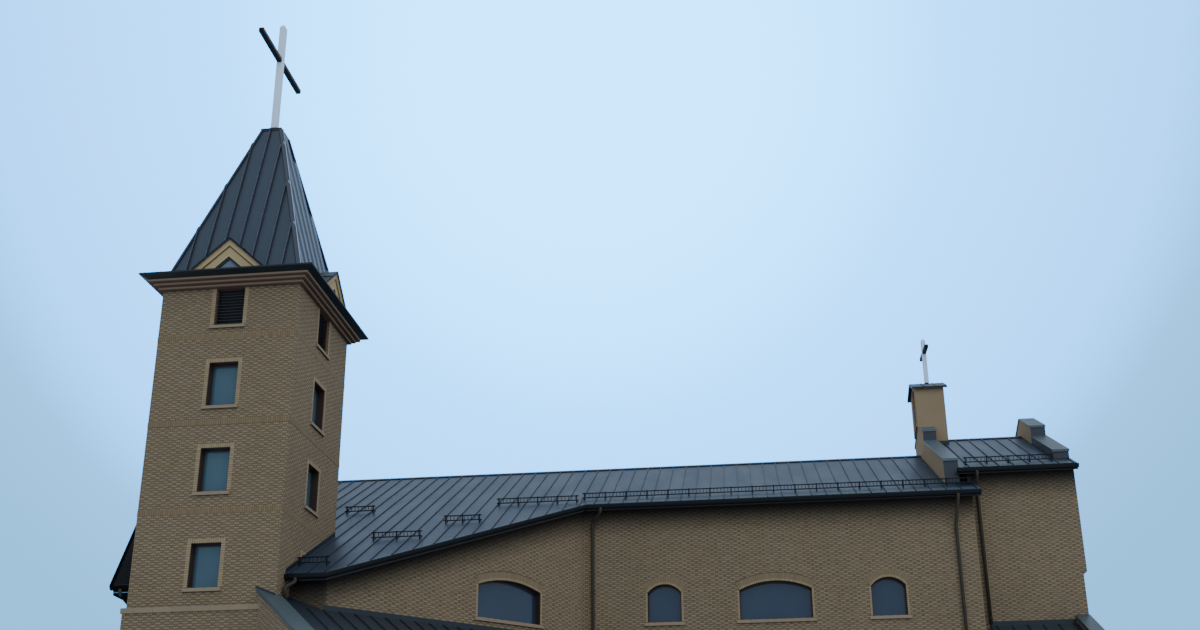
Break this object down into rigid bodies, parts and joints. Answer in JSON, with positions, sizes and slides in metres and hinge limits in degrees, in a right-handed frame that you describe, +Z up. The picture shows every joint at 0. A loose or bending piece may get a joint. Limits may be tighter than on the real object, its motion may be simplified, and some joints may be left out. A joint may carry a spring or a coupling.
{
  "type": "modern church building",
  "caption": "Brick church with a square bell tower and metal spire, a long gabled nave with a splayed side, a raised chancel, a bell cote and lean-to roofs.",
  "frame": {"origin": "bottom centre of the whole building, on the ground", "axes": "+X along the nave from the entrance gable to the chancel, +Y from the long front to the back, +Z up"},
  "size_m": [36.0676, 22.0284, 30.6],
  "materials": {
    "brick": "matte",
    "plaster": "matte",
    "stone_trim": "matte",
    "roof_metal": "satin",
    "trim_metal": "satin",
    "pale_metal": "satin",
    "glass": "clear",
    "concrete": "matte",
    "timber": "satin"
  },
  "bodies": {
    "root": {"tower_front_wall": "brick", "tower_front_glass": "glass", "dormer_front": "stone_trim", "tower_right_wall": "brick", "tower_right_glass": "glass", "dormer_right": "stone_trim", "tower_back_wall": "brick", "tower_back_glass": "glass", "dormer_back": "stone_trim", "tower_left_wall": "brick", "tower_left_glass": "glass", "dormer_left": "stone_trim", "tower_floor_1": "concrete", "tower_floor_2": "concrete", "tower_floor_3": "concrete", "tower_floor_4": "concrete", "tower_stone_band": "stone_trim", "tower_cornice": "stone_trim", "tower_eave": "roof_metal", "spire": "roof_metal", "spire_cross": "pale_metal", "nave_front_wall": "brick", "nave_right_splay_wall": "brick", "nave_left_splay_wall": "brick", "nave_back_wall": "brick", "entrance_gable_wall": "brick", "chancel_arch_wall": "brick", "entrance_door": "timber", "nave_front_glass": "glass", "nave_back_glass": "glass", "nave_right_splay_glass": "glass", "nave_left_splay_glass": "glass", "entrance_gable_glass": "glass", "nave_roof_front": "roof_metal", "nave_roof_back": "roof_metal", "nave_gutter_front": "trim_metal", "nave_gutter_left": "trim_metal", "nave_gutter_back": "trim_metal", "nave_gable_parapet": "plaster", "lean_to_left_verge": "brick", "lean_to_right_verge": "brick", "lean_to_front_wall": "brick", "lean_to_glass": "glass", "lean_to_roof": "roof_metal", "chancel_front_wall": "brick", "chancel_back_wall": "brick", "chancel_gable_wall": "brick", "chancel_roof_front": "roof_metal", "chancel_roof_back": "roof_metal", "chancel_gutter_front": "trim_metal", "chancel_gutter_back": "trim_metal", "chancel_gable_parapet": "plaster", "bell_cote": "plaster", "bell_cote_roof": "roof_metal", "bell_cote_cross": "pale_metal", "annex_walls": "brick", "annex_roof": "roof_metal", "annex_glass": "glass", "ground_floor": "concrete"}
  },
  "joints": []
}
